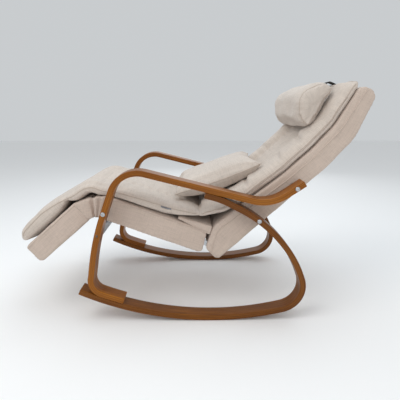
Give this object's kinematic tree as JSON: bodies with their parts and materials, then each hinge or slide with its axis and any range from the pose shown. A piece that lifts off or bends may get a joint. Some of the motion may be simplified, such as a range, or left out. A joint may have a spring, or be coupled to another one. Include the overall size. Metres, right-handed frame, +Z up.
{
  "type": "rocking chair",
  "caption": "Bentwood rocking recliner with a hinged footrest, upholstered seat and back, a long channelled cushion, a neck pillow and a loose pillow.",
  "frame": {"origin": "on the ground, at the middle of the overall box across the chair and along it", "axes": "+X along the chair from the footrest to the head end, which is its longest extent; +Y across the chair towards the sitter's right; +Z up"},
  "size_m": [1.3464, 0.6696, 0.9262],
  "materials": {
    "wood": "clear satin lacquer over laminated honey-brown veneer",
    "batten": "matt grey paint",
    "linen": "plain-woven warm light grey linen",
    "lining": "plain dark lining cloth",
    "steel": "bright zinc-plated steel",
    "frame": "black powder coat",
    "light_frame": "black powder coat over a light alloy",
    "weight": "a steel plate sewn into dark lining cloth",
    "webbing": "black elastic webbing"
  },
  "bodies": {
    "frame": {"left_arm_front_leg": "wood", "right_arm_front_leg": "wood", "left_rocker_rear_leg": "wood", "right_rocker_rear_leg": "wood", "front_stretcher": "batten", "left_front_bolt": "steel", "right_front_bolt": "steel", "left_arm_bolt": "steel", "right_arm_bolt": "steel", "left_rear_leg_bolt": "steel", "right_rear_leg_bolt": "steel", "left_front_spacer": "steel", "right_front_spacer": "steel", "left_arm_spacer": "steel", "right_arm_spacer": "steel", "left_rear_leg_spacer": "steel", "right_rear_leg_spacer": "steel", "left_stretcher_screw": "steel", "right_stretcher_screw": "steel", "seat_cover": "linen", "seat_rail_frame": "frame", "seat_webbing_1": "webbing", "seat_webbing_2": "webbing", "seat_webbing_3": "webbing", "back_cover": "linen", "back_rail_frame": "frame", "back_rear_panel": "lining", "back_webbing_1": "webbing", "back_webbing_2": "webbing", "back_webbing_3": "webbing", "back_webbing_4": "webbing", "left_seat_back_bracket": "steel", "right_seat_back_bracket": "steel", "left_hinge_fixed_leaf": "steel", "right_hinge_fixed_leaf": "steel", "left_hinge_pin": "steel", "right_hinge_pin": "steel", "knuckle_sleeve": "linen", "knee_cushion": "linen", "seat_back_flap": "linen", "seat_cushion": "linen", "back_cushion": "linen", "label_tab": "lining"},
    "footrest": {"footrest_cover": "linen", "footrest_rail_frame": "light_frame", "footrest_webbing_1": "webbing", "footrest_webbing_2": "webbing", "left_hinge_moving_leaf": "steel", "right_hinge_moving_leaf": "steel", "leg_cushion": "linen"},
    "neck_pillow": {"neck_pillow": "linen", "neck_strap": "webbing", "neck_counterweight": "weight"},
    "throw_pillow": {"throw_pillow": "linen"}
  },
  "joints": [
    {"name": "footrest_hinge", "type": "hinge", "parent": "frame", "child": "footrest", "pos_m": [-0.392, 0, 0.43], "axis": [0, 1, 0], "range_deg": [-30, 40], "deforming": ["knuckle_sleeve", "knee_cushion"]},
    {"name": "neck_pillow_lift", "type": "slide", "parent": "frame", "child": "neck_pillow", "axis": [0.3843, 0, 0.9232], "range_m": [0, 0.12]},
    {"name": "throw_pillow_lift", "type": "slide", "parent": "frame", "child": "throw_pillow", "axis": [0, 0, 1], "range_m": [0, 0.15]}
  ]
}
